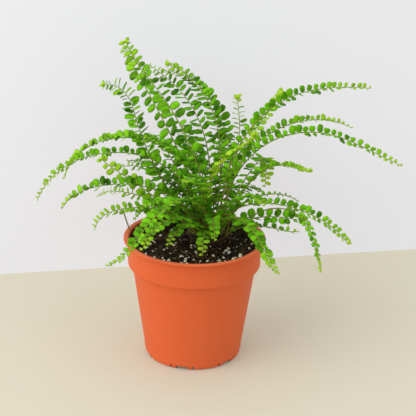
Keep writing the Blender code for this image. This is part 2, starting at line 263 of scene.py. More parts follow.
class Wiring:
    """Adds nodes to one tree and joins them."""

    def __init__(self, tree):
        self.tree = tree
        self.count = 0

    def add(self, kind, feeds=None, **settings):
        """A new node, with its properties set and its inputs fed."""
        node = self.tree.nodes.new(kind)
        node.location = (self.count % 12 * 190, -(self.count // 12) * 260)
        self.count += 1
        for name, value in settings.items():
            setattr(node, name, value)
        self.feed_all(node, feeds or {})
        return node

    def take(self, kind, feeds=None, **settings):
        """The first output of a new node."""
        return self.out(self.add(kind, feeds, **settings))

    def socket(self, sockets, name):
        if isinstance(name, int):
            return sockets[name]
        return next(s for s in sockets if s.name == name and s.enabled)

    def out(self, node, name=None):
        if name is None:
            return next(s for s in node.outputs if s.enabled)
        return self.socket(node.outputs, name)

    def feed(self, socket, value):
        if isinstance(value, bpy.types.NodeSocket):
            self.tree.links.new(value, socket)
        elif socket.type == "RGBA":
            socket.default_value = (*value, 1.0)
        else:
            socket.default_value = value

    def feed_all(self, node, feeds):
        for name, value in feeds.items():
            self.feed(self.socket(node.inputs, name), value)

    def math(self, operation, *values):
        node = self.add("ShaderNodeMath", operation=operation)
        for socket, value in zip(node.inputs, values):
            self.feed(socket, value)
        return node.outputs[0]

    def plus(self, a, b):
        return self.math("ADD", a, b)

    def minus(self, a, b):
        return self.math("SUBTRACT", a, b)

    def times(self, a, b):
        return self.math("MULTIPLY", a, b)

    def vector(self, operation, a, b):
        return self.take("ShaderNodeVectorMath", {0: a, 1: b}, operation=operation)

    def scaled(self, a, scale):
        return self.take("ShaderNodeVectorMath", {0: a, "Scale": scale}, operation="SCALE")

    def attribute(self, name):
        """A mesh attribute's value, in a material."""
        return self.out(self.add("ShaderNodeAttribute", attribute_name=name), "Fac")

    def place(self):
        """Where a point lies on its own piece."""
        return self.out(self.add("ShaderNodeTexCoord"), "Object")

    def noise(self, place, scale, detail, **more):
        return self.out(self.add("ShaderNodeTexNoise", {
            "Vector": place, "Scale": scale, "Detail": detail, **more}), "Fac")

    def named(self, name, kind="FLOAT"):
        """A mesh attribute's value, in a geometry tree."""
        return self.take("GeometryNodeInputNamedAttribute", {"Name": name}, data_type=kind)

    def mix(self, factor, a, b):
        return self.take("ShaderNodeMix", {"Factor": factor, "A": a, "B": b}, data_type="RGBA")

    def ramp(self, value, low, high, out_low=0.0, out_high=1.0):
        """Carries a value from one range to another and holds it there."""
        return self.take("ShaderNodeMapRange", {
            "Value": value, "From Min": low, "From Max": high, "To Min": out_low,
            "To Max": out_high}, clamp=True)


def new_material(name):
    material = bpy.data.materials.new(name)
    material.use_nodes = True
    material.node_tree.nodes.clear()
    wire = Wiring(material.node_tree)
    shader = wire.add("ShaderNodeBsdfPrincipled")
    output = wire.add("ShaderNodeOutputMaterial")
    material.node_tree.links.new(shader.outputs[0], output.inputs["Surface"])
    return material, wire, shader


SOCKET_KINDS = {float: "Float", int: "Int", tuple: "Vector"}


def new_group(name, kind, inputs, outputs):
    """A node tree, its wiring, its inputs by name and its output node.

    Each input is given its default, or the kind of socket where it has none.
    """
    tree = bpy.data.node_groups.new(name, kind)
    for label, default in inputs.items():
        plain = isinstance(default, str)
        socket = tree.interface.new_socket(
            name=label, in_out="INPUT",
            socket_type="NodeSocket" + (default if plain else SOCKET_KINDS[type(default)]))
        if not plain:
            socket.default_value = default
    for label, socket_kind in outputs.items():
        tree.interface.new_socket(name=label, in_out="OUTPUT",
                                  socket_type="NodeSocket" + socket_kind)
    wire = Wiring(tree)
    given = {socket.name: socket for socket in wire.add("NodeGroupInput").outputs}
    return tree, wire, given, wire.add("NodeGroupOutput")


def grown(piece, tree, feeds):
    """Runs a geometry tree on a piece and leaves its result as the piece's plain mesh."""
    modifier = piece.modifiers.new(tree.name, "NODES")
    modifier.node_group = tree
    sockets = {item.name: item.identifier for item in tree.interface.items_tree
               if item.in_out == "INPUT"}
    for name, value in feeds.items():
        modifier[sockets[name]] = value
    bpy.context.view_layer.update()
    evaluated = piece.evaluated_get(bpy.context.evaluated_depsgraph_get())
    mesh = bpy.data.meshes.new_from_object(evaluated)
    if not mesh.polygons:
        raise RuntimeError(f"{piece.name} grew no faces")
    mesh.name = piece.name
    piece.modifiers.remove(modifier)
    piece.data = mesh


def template_collection(name, meshes):
    """A hidden collection of shapes for a geometry tree to place."""
    group = bpy.data.collections.new(name)
    for mesh in meshes:
        group.objects.link(bpy.data.objects.new(mesh.name, mesh))
    return group


def clear_templates(group):
    for shape in list(group.objects):
        bpy.data.objects.remove(shape)
    bpy.data.collections.remove(group)


# ---------------------------------------------------------------- shared effects

def fine_grain_group():
    """Soft mottling and a fine bump height, for plastic, leaf and grit."""
    tree, wire, get, result = new_group(
        "fine_grain", "ShaderNodeTree", {"Scale": 400.0, "Detail": 3.0, "Mottle Scale": 60.0},
        {"Height": "Float", "Mottle": "Float"})
    place = wire.place()
    broad = wire.noise(place, get["Mottle Scale"], 2.0)
    wire.feed_all(result, {"Height": wire.noise(place, get["Scale"], get["Detail"]),
                           "Mottle": wire.ramp(broad, 0.35, 0.65)})
    return tree


def fine_grain(wire, scale, mottle_scale, detail=3.0):
    """Places the shared grain in a material and gives its bump height and its mottling."""
    tree = bpy.data.node_groups.get("fine_grain") or fine_grain_group()
    node = wire.add("ShaderNodeGroup", {"Scale": scale, "Detail": detail,
                                        "Mottle Scale": mottle_scale}, node_tree=tree)
    return node.outputs["Height"], node.outputs["Mottle"]


def add_bump(wire, shader, height, strength, distance):
    bump = wire.add("ShaderNodeBump", {"Height": height, "Strength": strength,
                                       "Distance": distance})
    wire.feed(shader.inputs["Normal"], bump.outputs["Normal"])


# ---------------------------------------------------------------- materials

VEINS_ALONG, VEIN_SLANT = 7.0, 5.0
MOULD_RIPPLE = 2200.0  # Radians of ripple on each metre of height.
DRAIN_SLOT_TOP = 4.0 * MM
FOOT_SHARE = 0.655  # The foot's radius inside its wall, as a share of the lip's.


def leaf_material(name, settings):
    """Leaflets run from dark grown green at the foot to lime at the tip."""
    material, wire, shader = new_material(name)
    youth, tone = wire.attribute("youth"), wire.attribute("tone")
    uv = wire.add("ShaderNodeSeparateXYZ", {"Vector": wire.take("ShaderNodeUVMap", uv_map="UVMap")})
    height, mottle = fine_grain(wire, 900.0, 260.0)
    along = uv.outputs["X"]
    across = wire.math("ABSOLUTE", wire.minus(uv.outputs["Y"], 0.5))
    midrib = wire.ramp(across, 0.0, 0.07, 1.0, 0.0)
    slant = wire.minus(wire.times(along, VEINS_ALONG), wire.times(across, VEIN_SLANT))
    veins = wire.math("POWER", wire.math("ABSOLUTE", wire.math(
        "SINE", wire.times(slant, math.pi))), 6.0)
    shade = wire.plus(wire.math("MULTIPLY_ADD", tone, 0.62, 0.05), wire.times(mottle, 0.25))
    lime = settings.young_lime
    colour = wire.mix(wire.ramp(shade, 0.06, 0.92), settings.grown_dark,
                      settings.grown_bright)
    age = wire.plus(youth, wire.times(wire.minus(tone, 0.5), 0.14))
    colour = wire.mix(wire.ramp(age, 0.30, 0.95), colour, lime)
    pale = wire.mix(0.35, colour, lime)
    edge = wire.ramp(across, 0.38, 0.5, 0.0, 0.35)
    for mask in (wire.times(midrib, 0.55), wire.times(veins, 0.22), edge):
        colour = wire.mix(mask, colour, pale)
    wire.feed_all(shader, {
        "Base Color": colour, "Roughness": wire.ramp(mottle, 0, 1, 0.42, 0.56),
        "Subsurface Weight": 0.34, "Subsurface Radius": (0.45, 1.0, 0.02),
        "Subsurface Scale": 0.8 * MM, "Specular IOR Level": 0.07})
    height = wire.minus(wire.times(height, 0.5), wire.plus(midrib, wire.times(veins, 0.5)))
    add_bump(wire, shader, height, 0.35, 0.12 * MM)
    return material


def stalk_material(settings):
    """Wiry stalks, olive brown at the crown and green at the tip."""
    material, wire, shader = new_material("stalk")
    height, mottle = fine_grain(wire, 1400.0, 150.0)
    age = wire.plus(wire.attribute("youth"), wire.ramp(mottle, 0, 1, -0.12, 0.12))
    colour = wire.mix(wire.ramp(age, 0.05, 0.75), settings.stalk_brown,
                      settings.stalk_green)
    wire.feed_all(shader, {"Base Color": colour, "Roughness": wire.ramp(height, 0, 1, 0.45, 0.7),
                           "Specular IOR Level": 0.15})
    add_bump(wire, shader, height, 0.4, 0.08 * MM)
    return material


def plastic_material(settings):
    """Matt moulded plastic: fine spark texture, faint mould rings, scuffs, painted shade inside the
    rim and in the drain slots, and a painted highlight along the lip.
    """
    material, wire, shader = new_material("terracotta_plastic")
    place = wire.place()
    x, y, z = wire.add("ShaderNodeSeparateXYZ", {"Vector": place}).outputs
    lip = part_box("pot")[1]
    height, mottle = fine_grain(wire, 2600.0, 26.0, 4.0)
    streaks = wire.take("ShaderNodeMapping", {"Vector": place, "Scale": (1.0, 1.0, 12.0)})
    scuffed = wire.ramp(wire.noise(streaks, 70.0, 6.0, Roughness=0.7), 0.60, 0.74)
    flow = wire.noise(place, 14.0, 3.0)
    scuffs_and_highlight = settings.plastic_scuffs_and_highlight
    colour = wire.mix(wire.ramp(flow, 0.3, 0.7, 0.0, 0.10), settings.plastic,
                      scuffs_and_highlight)
    colour = wire.mix(wire.times(scuffed, 0.14), colour, scuffs_and_highlight)
    radius = wire.math("SQRT", wire.plus(wire.math("POWER", x, 2.0), wire.math("POWER", y, 2.0)))
    normal = wire.add("ShaderNodeSeparateXYZ", {"Vector": wire.out(
        wire.add("ShaderNodeNewGeometry"), "Normal")})
    outward = wire.plus(wire.times(x, normal.outputs["X"]), wire.times(y, normal.outputs["Y"]))
    # Painted shade: faces that turn towards the pot's axis, on the inside of the pot, take the
    # darker inside colour.
    facing_in = wire.ramp(wire.math("DIVIDE", outward, radius), -0.45, -0.75)
    colour = wire.mix(facing_in, colour, settings.inner)
    # Painted shade: low down and inside the foot's wall, in the drain slots, the colour goes near
    # black.
    low = wire.ramp(z, DRAIN_SLOT_TOP, DRAIN_SLOT_TOP - 1.6 * MM)
    foot_radius = lip.x * FOOT_SHARE
    behind = wire.ramp(radius, foot_radius, foot_radius - 1.4 * MM)
    colour = wire.mix(wire.times(low, behind), colour, settings.drain_shade)
    # Painted highlight: a paler band along the top of the lip.
    rim = wire.ramp(z, lip.z - 0.5 * MM, lip.z - 0.1 * MM, 0.0, 0.35)
    colour = wire.mix(rim, colour, scuffs_and_highlight)
    rings = wire.math("SINE", wire.times(z, MOULD_RIPPLE))
    rough = wire.plus(wire.ramp(mottle, 0, 1, 0.50, 0.60), wire.times(scuffed, 0.08))
    wire.feed_all(shader, {
        "Base Color": colour, "Roughness": rough, "Specular IOR Level": 0.2,
        "Subsurface Weight": 0.05, "Subsurface Radius": (1.0, 0.35, 0.15),
        "Subsurface Scale": 1.5 * MM})
    add_bump(wire, shader, wire.plus(height, wire.times(rings, 0.10)), 0.18, 0.10 * MM)
    return material


def mix_material(settings):
    """Damp peat and bark, near black with brown crumbs."""
    material, wire, shader = new_material("potting_mix")
    place = wire.place()
    crumbs = wire.add("ShaderNodeTexVoronoi", {"Vector": place, "Scale": 520.0, "Randomness": 1.0})
    patches = wire.noise(place, 130.0, 5.0)
    shade = wire.add("ShaderNodeSeparateColor", {"Color": crumbs.outputs["Color"]})
    brown = wire.times(wire.ramp(shade.outputs["Red"], 0.45, 1.0), wire.ramp(patches, 0.35, 0.65))
    wire.feed_all(shader, {
        "Base Color": wire.mix(brown, settings.mix_dark, settings.mix_brown),
        "Roughness": wire.ramp(patches, 0, 1, 0.72, 0.95), "Specular IOR Level": 0.15})
    height = wire.minus(patches, wire.times(crumbs.outputs["Distance"], 0.8))
    add_bump(wire, shader, height, 0.9, 0.9 * MM)
    return material


def perlite_material(settings):
    """Chalky white grains, dusty in their pits, some of them stained."""
    material, wire, shader = new_material("perlite")
    height, mottle = fine_grain(wire, 1500.0, 500.0)
    dusty = wire.mix(wire.ramp(height, 0.55, 0.35, 0.0, 0.45), settings.perlite,
                     settings.mix_brown)
    colour = wire.mix(wire.ramp(wire.attribute("tone"), 0.55, 1.0, 0.0, 0.45), dusty,
                      settings.perlite_stain)
    wire.feed_all(shader, {"Base Color": colour, "Roughness": wire.ramp(mottle, 0, 1, 0.75, 0.9)})
    add_bump(wire, shader, height, 0.8, 0.3 * MM)
    return material


def bark_material(name, settings):
    """Bark chips, peat threads and old stalks, brown to straw by piece."""
    material, wire, shader = new_material(name)
    tone, dark = wire.attribute("tone"), settings.mix_dark
    stretched = wire.take("ShaderNodeMapping", {"Vector": wire.place(), "Scale": (1.0, 1.0, 0.2)})
    threads = wire.noise(stretched, 900.0, 4.0)
    colour = wire.mix(wire.ramp(tone, 0.25, 0.85), settings.mix_brown, settings.fibre)
    colour = wire.mix(wire.ramp(tone, 0.86, 0.98), colour, settings.straw)
    colour = wire.mix(wire.ramp(threads, 0.62, 0.38, 0.0, 0.6), colour, dark)
    wire.feed_all(shader, {"Base Color": colour, "Roughness": wire.ramp(threads, 0, 1, 0.7, 0.95)})
    add_bump(wire, shader, threads, 0.7, 0.3 * MM)
    return material


def stage_material(name, colour, glow, clear_behind):
    """Matt paint, faintly uneven, with a little light of its own that softens the shadows."""
    material, wire, shader = new_material(name)
    place = wire.place()
    drift, fine = wire.noise(place, 3.0, 2.0), wire.noise(place, 900.0, 2.0)
    darker = [0.965 * c for c in colour]
    wire.feed_all(shader, {
        "Base Color": wire.mix(wire.ramp(drift, 0.3, 0.7), colour, darker),
        "Roughness": wire.ramp(fine, 0, 1, 0.62, 0.72),
        "Specular IOR Level": 0.25, "Emission Color": glow, "Emission Strength": 1.0})
    if clear_behind:
        output = next(n for n in material.node_tree.nodes if n.type == "OUTPUT_MATERIAL")
        back = wire.out(wire.add("ShaderNodeNewGeometry"), "Backfacing")
        clear = wire.take("ShaderNodeBsdfTransparent")
        wire.feed(output.inputs["Surface"], wire.take("ShaderNodeMixShader", {
            0: back, 1: shader.outputs[0], 2: clear}))
    return material


# ---------------------------------------------------------------- fronds

BLADE_ASPECT = 1.3  # A ring wider than this many times its thickness is a blade, not a stalk.
PATH_STEP = 1.3 * MM
COIL_TURNS, COIL_STEP, COIL_SHRINK = 1.6, 0.45, 0.93
BUD_SHARE = 0.44  # A bud's radius as a share of the coil's width.
LEAFLET_SHAPES = 4
LEAFLET_COLUMNS, LEAFLET_ROWS, LEAFLET_THICKNESS = 7, 4, 0.020
# How far single leaflets stray from their frond's look, from least to most.
STEP_RANGE, SWEEP_RANGE, TURN_RANGE = (0.34, 0.66), (-0.28, 0.28), (-0.42, 0.42)
DIP_RANGE, LENGTH_RANGE = (-0.34, 0.30), (0.74, 1.14)
# Length of the leaflets from the foot of the leafy part to the tip, as a share of the longest.
LENGTH_PROFILE = ((0.0, 0.66), (1.0, 0.34), (0.18, 0.94), (0.45, 1.0), (0.72, 0.94), (0.90, 0.68))


def cad_rings(node, heart):
    """The four-point rings of a frond's CAD solid, foot first."""
    bm = bmesh.new()
    bm.from_mesh(frame["nodes"][node].data)
    bmesh.ops.remove_doubles(bm, verts=bm.verts, dist=JOIN_REACH)
    foot = sorted(bm.verts, key=lambda v: (v.co - heart).length)[:4]
    step = {v: 0 for v in foot}
    queue = list(foot)
    for vert in queue:
        for edge in vert.link_edges:
            other = edge.other_vert(vert)
            if other not in step:
                step[other] = step[vert] + 1
                queue.append(other)
    rings = [[] for _ in range(max(step.values()) + 1)]
    for vert, index in step.items():
        rings[index].append(vert.co.copy())
    bm.free()
    if any(len(ring) != 4 for ring in rings):
        raise RuntimeError(f"{node} isn't made of four-point rings")
    return rings


def ring_side(ring):
    """The widest direction across a ring, or nothing where it is still a round stalk."""
    far = max(ring[1:], key=lambda point: (point - ring[0]).length)
    others = [point for point in ring[1:] if point is not far]
    spans = [far - ring[0], others[1] - others[0]]
    widest = max(spans, key=lambda span: span.length)
    narrow = min(spans, key=lambda span: span.length)
    return widest.normalized() if widest.length > BLADE_ASPECT * narrow.length else None


def smooth_points(points, step):
    """Points on one even curve through the given ones."""
    ends = [2 * points[0] - points[1], *points, 2 * points[-1] - points[-2]]
    result = []
    for a, b, c, d in zip(ends, ends[1:], ends[2:], ends[3:]):
        parts = max(1, round((c - b).length / step))
        for part in range(parts):
            t = part / parts
            result.append(0.5 * (2 * b + (c - a) * t + (2 * a - 5 * b + 4 * c - d) * t * t
                                 + (3 * b - a - 3 * c + d) * t ** 3))
    return [*result, points[-1]]


def coil(points, lift, diameter):
    """Carries a path on into a small coil that rolls up over its upper face."""
    tangent = (points[-1] - points[-3]).normalized()
    up = (lift - tangent * lift.dot(tangent)).normalized()
    turn, radius = 0.0, diameter / 2
    place, added = points[-1], []
    while turn < COIL_TURNS * math.tau:
        turn += COIL_STEP
        radius *= COIL_SHRINK
        heading = tangent * math.cos(turn) + up * math.sin(turn)
        place = place + heading * radius * COIL_STEP
        added.append(place)
    return added


def frond_path(node, heart, look):
    """A frond's smooth middle line, with the blade's side and upper directions at each point."""
    rings = cad_rings(node, heart)
    centres = [sum(ring, Vector()) / 4 for ring in rings]
    sides = [ring_side(ring) for ring in rings]
    known = [i for i, side in enumerate(sides) if side is not None]
    if not known:
        known = [0]
        sides[0] = (centres[-1] - centres[0]).cross(Vector((0, 0, 1))).normalized()
    spread = [sides[min(known, key=lambda k: abs(k - i))].copy() for i in range(len(rings))]
    for i in range(1, len(spread)):
        if spread[i].dot(spread[i - 1]) < 0:
            spread[i] = -spread[i]
    points = smooth_points(centres, PATH_STEP)
    reach = [0.0]
    for a, b in zip(centres, centres[1:]):
        reach.append(reach[-1] + (b - a).length)
    frames, gone = [], 0.0
    for i, point in enumerate(points):
        if i:
            gone += (point - points[i - 1]).length
        tangent = (points[min(i + 1, len(points) - 1)] - points[max(i - 1, 0)]).normalized()
        at = max(k for k in range(len(reach)) if reach[k] <= gone + 1e-9) if gone else 0
        at = min(at, len(reach) - 2)
        t = min(1.0, (gone - reach[at]) / (reach[at + 1] - reach[at]))
        side = spread[at].lerp(spread[at + 1], t)
        side = (side - tangent * side.dot(tangent)).normalized()
        side = Matrix.Rotation(math.radians(look.roll), 3, tangent) @ side
        frames.append((point, side, tangent))
    if sum(side.cross(tangent).z for _, side, tangent in frames) < 0:
        frames = [(point, -side, tangent) for point, side, tangent in frames]
    rows = [(point, side, side.cross(tangent).normalized()) for point, side, tangent in frames]
    if look.curl:
        _, side, lift = rows[-1]
        rows += [(point, side, lift) for point in coil([r[0] for r in rows], lift, look.curl * MM)]
    return rows


def path_object(name, rows):
    """The path as a row of edges that carries its directions as attributes."""
    mesh = bpy.data.meshes.new(name)
    edges = [(i, i + 1) for i in range(len(rows) - 1)]
    mesh.from_pydata([tuple(row[0]) for row in rows], edges, [])
    for label, column in (("side", 1), ("lift", 2)):
        attribute = mesh.attributes.new(label, "FLOAT_VECTOR", "POINT")
        attribute.data.foreach_set("vector", [c for row in rows for c in row[column]])
    return add_object(name, mesh)


def leaflet_mesh(name, width, fold, droop, skew):
    """One closed leaflet, one unit long: its foot at the origin, tip along +X, upper face +Z."""
    columns, rows = LEAFLET_COLUMNS, LEAFLET_ROWS
    verts, uvs, faces = [(0, 0, 0)], [(0, 0.5)], []
    shells = []
    for face in (1, -1):
        grid = []
        for i in range(1, columns):
            angle = math.pi * i / columns
            along = 0.5 - 0.5 * math.copysign(abs(math.cos(angle)) ** 0.86, math.cos(angle))
            half = 0.5 * width * math.sin(angle) ** 0.72 * (1 + 0.035 * (-1) ** i)
            line = []
            for j in range(rows + 1):
                across = 2 * j / rows - 1
                if face < 0 and abs(across) == 1:
                    line.append(shells[0][i - 1][j])
                    continue
                height = -fold * across * across * width - droop * along * along
                height += face * LEAFLET_THICKNESS * (1 - across * across)
                height += 0.02 * math.sin(5 * along + 3 * across + skew * 9)
                verts.append((along, half * across + skew * along * along * 0.2, height))
                uvs.append((along, 0.5 + 0.5 * across))
                line.append(len(verts) - 1)
            grid.append(line)
        shells.append(grid)
    verts.append((1, skew * 0.2, -droop))
    uvs.append((1, 0.5))
    tip = len(verts) - 1
    for grid in shells:
        for a, b in zip(grid, grid[1:]):
            faces += [(a[j], b[j], b[j + 1], a[j + 1]) for j in range(rows)]
        faces += [(0, grid[0][j], grid[0][j + 1]) for j in range(rows)]
        faces += [(tip, grid[-1][j + 1], grid[-1][j]) for j in range(rows)]
    mesh = mesh_from(name, verts, faces)
    layer = mesh.uv_layers.new(name="UVMap")
    for loop in mesh.loops:
        layer.data[loop.index].uv = uvs[loop.vertex_index]
    return mesh


def leaflet_templates(settings):
    shape = random.Random(5)
    return template_collection("leaflets", [
        leaflet_mesh(f"leaflet_{i}", settings.leaflet_width * shape.uniform(0.92, 1.06),
                     shape.uniform(0.04, 0.12), shape.uniform(0.04, 0.16), shape.uniform(-0.5, 0.5))
        for i in range(LEAFLET_SHAPES)])


def random_draws(wire, seed):
    """Gives a function that draws a random value for each point, one stream for each number."""
    def draw(low, high, stream, kind="FLOAT"):
        return wire.take("FunctionNodeRandomValue", {
            "Min": low, "Max": high, "Seed": wire.plus(seed, float(stream))}, data_type=kind)
    return draw


def stored(wire, geometry, name, value, domain="INSTANCE"):
    return wire.take("GeometryNodeStoreNamedAttribute", {
        "Geometry": geometry, "Name": name, "Value": value}, domain=domain, data_type="FLOAT")


def picked_shapes(wire, points, collection, last, draw, stream, rotation, size):
    """Sets one of a collection's shapes, picked at random, on every point."""
    shapes = wire.take("GeometryNodeCollectionInfo", {
        "Collection": collection, "Separate Children": True, "Reset Children": True})
    return wire.take("GeometryNodeInstanceOnPoints", {
        "Points": points, "Instance": shapes, "Pick Instance": True,
        "Instance Index": draw(0, last, stream, "INT"), "Rotation": rotation, "Scale": size})


def bud_ball(wire, centre, radius):
    """A lumpy ball for the tip of a frond that hasn't unrolled, or nothing at radius 0."""
    ball = wire.take("GeometryNodeMeshIcoSphere", {"Radius": 1.0, "Subdivisions": 3})
    lumps = wire.out(wire.add("ShaderNodeTexNoise", {"Scale": 1.8, "Detail": 1.0}), "Fac")
    outwards = wire.take("GeometryNodeInputPosition")
    ball = wire.take("GeometryNodeSetPosition", {
        "Geometry": ball, "Offset": wire.scaled(outwards, wire.minus(lumps, 0.5))})
    ball = wire.take("GeometryNodeTransform", {
        "Geometry": ball, "Translation": centre, "Scale": wire.scaled((1.0, 1.0, 1.0), radius)})
    for name, value in (("youth", 1.0), ("tone", 0.6), ("leafy", 1.0)):
        ball = stored(wire, ball, name, value, "POINT")
    return wire.take("GeometryNodeSwitch", {
        "Switch": wire.math("GREATER_THAN", radius, 0.0), "True": ball}, input_type="GEOMETRY")


def frond_tree():
    """Grows a stalk along a path and sets leaflets down both of its sides in turn."""
    tree, wire, get, result = new_group("frond", "GeometryNodeTree", {
        "Geometry": "Geometry", "Leaflets": "Collection", "Leaflet Length": 6.8 * MM,
        "Spacing": 6.6 * MM, "Turn": 0.3, "Sweep": 0.2, "Fold": 0.2, "Taper": 0.3,
        "Bare Share": 0.14, "Youth": 0.3, "Stalk Radius": 0.62 * MM, "Tip Radius": 0.26 * MM,
        "Bud Radius": 0.0, "Seed": 1, "Leaf": "Material", "Stalk": "Material"},
        {"Geometry": "Geometry"})
    draw = random_draws(wire, get["Seed"])

    # Where each leaflet sits: one side and then the other, closer together towards the tip.
    curve = wire.take("GeometryNodeMeshToCurve", {"Mesh": get["Geometry"]})
    length = wire.take("GeometryNodeCurveLength", {"Curve": curve})
    leafy = wire.minus(1.0, get["Bare Share"])
    count = wire.math("ROUND", wire.math(
        "DIVIDE", wire.times(length, wire.times(leafy, 2.0)), get["Spacing"]))
    points = wire.take("GeometryNodePoints", {"Count": count})
    index = wire.take("GeometryNodeInputIndex")
    share = wire.math("DIVIDE", wire.plus(index, draw(*STEP_RANGE, 1)), count)
    crowding = wire.plus(0.12, wire.times(get["Taper"], 0.5))
    eased = wire.minus(wire.times(share, wire.plus(crowding, 1.0)),
                       wire.times(wire.times(share, share), crowding))
    factor = wire.plus(get["Bare Share"], wire.times(leafy, eased))

    def sampled(label):
        return wire.add("GeometryNodeSampleCurve", {
            "Curves": curve, "Value": wire.named(label, "FLOAT_VECTOR"), "Factor": factor},
            data_type="FLOAT_VECTOR", mode="FACTOR")

    sides, lifts = sampled("side"), sampled("lift")
    side, lift = wire.out(sides, "Value"), wire.out(lifts, "Value")
    position, tangent = wire.out(sides, "Position"), wire.out(sides, "Tangent")
    sign = wire.minus(1.0, wire.times(wire.math("MODULO", index, 2.0), 2.0))
    outward = wire.scaled(side, sign)
    rooted = wire.take("GeometryNodeSetPosition", {
        "Geometry": points, "Position": wire.vector("ADD", position, wire.scaled(
            outward, wire.times(get["Tip Radius"], 0.8)))})

    # Which way it points and faces, and how long it is.
    sweep = wire.plus(get["Sweep"], draw(*SWEEP_RANGE, 2))
    turn = wire.plus(get["Turn"], draw(*TURN_RANGE, 3))
    dip = draw(*DIP_RANGE, 4)
    level, rise = wire.math("COSINE", get["Fold"]), wire.math("SINE", get["Fold"])
    raised = wire.vector("ADD", wire.scaled(outward, level), wire.scaled(lift, rise))
    upper = wire.vector("SUBTRACT", wire.scaled(lift, level), wire.scaled(outward, rise))
    reach = wire.vector("ADD", wire.scaled(raised, wire.math("COSINE", sweep)),
                        wire.scaled(tangent, wire.math("SINE", sweep)))
    reach = wire.vector("ADD", reach, wire.scaled(upper, dip))
    facing = wire.vector("ADD", wire.scaled(upper, wire.math("COSINE", turn)),
                         wire.scaled(tangent, wire.math("SINE", turn)))
    rotation = wire.take("FunctionNodeAxesToRotation", {
        "Primary Axis": reach, "Secondary Axis": facing}, primary_axis="X", secondary_axis="Z")
    profile = wire.add("ShaderNodeFloatCurve", {"Value": share})
    spots = profile.mapping.curves[0].points
    spots[0].location, spots[1].location = LENGTH_PROFILE[:2]
    for spot in LENGTH_PROFILE[2:]:
        spots.new(*spot)
    profile.mapping.update()
    shrink = wire.minus(1.0, wire.times(get["Taper"], wire.times(share, share)))
    size = wire.times(wire.times(get["Leaflet Length"], shrink),
                      wire.times(wire.out(profile), draw(*LENGTH_RANGE, 5)))
    leaves = picked_shapes(
        wire, rooted, get["Leaflets"], LEAFLET_SHAPES - 1, draw, 6, rotation, size)
    youth = wire.plus(get["Youth"], wire.times(wire.math("POWER", share, 2.8), 0.75))
    for name, value in (("youth", youth), ("tone", draw(0.0, 1.0, 7)), ("leafy", 1.0)):
        leaves = stored(wire, leaves, name, value)

    # The stalk and the bud at its end.
    along = wire.out(wire.add("GeometryNodeSplineParameter"), "Factor")
    radius = wire.plus(get["Stalk Radius"], wire.times(
        wire.minus(get["Tip Radius"], get["Stalk Radius"]), along))
    aged = stored(wire, curve, "youth", wire.plus(wire.times(get["Youth"], 0.6),
                                                  wire.times(along, 0.7)), "POINT")
    stem = wire.take("GeometryNodeCurveToMesh", {
        "Curve": aged, "Scale": radius, "Fill Caps": True, "Profile Curve": wire.take(
            "GeometryNodeCurvePrimitiveCircle", {"Resolution": 6, "Radius": 1.0})})
    end = wire.out(wire.add("GeometryNodeSampleCurve", {"Curves": curve, "Factor": 1.0},
                            data_type="FLOAT_VECTOR", mode="FACTOR"), "Position")
    bud = bud_ball(wire, end, get["Bud Radius"])
    joined = wire.add("GeometryNodeJoinGeometry")
    for part in (bud, stem, leaves):
        wire.feed(joined.inputs[0], part)
    real = wire.take("GeometryNodeRealizeInstances", {"Geometry": wire.out(joined)})
    smooth = wire.take("GeometryNodeSetShadeSmooth", {"Geometry": real})
    stalks = wire.take("GeometryNodeSetMaterial", {"Geometry": smooth, "Material": get["Stalk"]})
    is_leaf = wire.math("GREATER_THAN", wire.named("leafy"), 0.5)
    wire.feed(result.inputs["Geometry"], wire.take("GeometryNodeSetMaterial", {
        "Geometry": stalks, "Selection": is_leaf, "Material": get["Leaf"]}))
    return tree


class FERN_OT_fronds(bpy.types.Operator):
    """Grow every frond along its CAD blade: a wiry stalk with a row of leaflets on each side"""
    bl_idname = "fern.fronds"
    bl_label = "Grow fronds"

    def execute(self, context):
        settings = context.scene.fern_leaf
        leaf = leaf_material("leaf", settings)
        stalk = stalk_material(settings)
        tree = frond_tree()
        templates = leaflet_templates(settings)
        low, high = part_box("rhizome_crown")
        heart = (low + high) / 2
        nodes = sorted(name for name in frame["nodes"] if "frond" in name)
        for number, node in enumerate(nodes):
            look = LOOKS.get(node, PLAIN_LOOK)
            piece = path_object(node.replace("frond", "leafy_frond"), frond_path(node, heart, look))
            grown(piece, tree, {
                "Leaflets": templates, "Leaflet Length": look.leaflet * MM,
                "Spacing": look.spacing * MM, "Turn": math.radians(look.turn),
                "Sweep": math.radians(look.sweep), "Fold": math.radians(look.fold),
                "Taper": look.taper, "Bare Share": look.bare, "Youth": look.youth,
                "Stalk Radius": settings.stalk_radius, "Tip Radius": settings.tip_radius,
                "Bud Radius": BUD_SHARE * look.curl * MM, "Seed": 100 * number,
                "Leaf": leaf, "Stalk": stalk})
            settle(piece, "young_leaf" if node.startswith("young") else "grown_leaf", node)
        clear_templates(templates)
        return {"FINISHED"}


# ---------------------------------------------------------------- pot

class FERN_OT_pot(bpy.types.Operator):
    """Finish the nursery pot in matt moulded plastic"""
    bl_idname = "fern.pot"
    bl_label = "Make pot"

    def execute(self, context):
        mesh = merged_copy("pot", "nursery_pot", 18)
        mesh.materials.clear()
        mesh.materials.append(plastic_material(context.scene.fern_pot))
        pot = add_object("nursery_pot", mesh)
        settle(pot, "terracotta_plastic", "pot")
        return {"FINISHED"}


# ---------------------------------------------------------------- potting mix and crown

DRY_STALK_FOOT = Vector((-48.5, 10, 91.0)) * MM
DRY_STALK_HEAD = Vector((-55.0, 14, 107.5)) * MM
PERLITE_HEART = (20 * MM, -34 * MM)  # Where the grains lie thickest.
SOIL_RINGS, SOIL_STEPS = 46, 150
SOIL_GAP = 0.2 * MM  # From the mix's edge to the outline of its CAD solid.
SOIL_CALM = 4  # Rings at the edge over which the crumbs die down.
SOIL_BORDER, SOIL_DEPTH = 1.5 * MM, 3 * MM  # Nothing is scattered nearer the edge or lower.
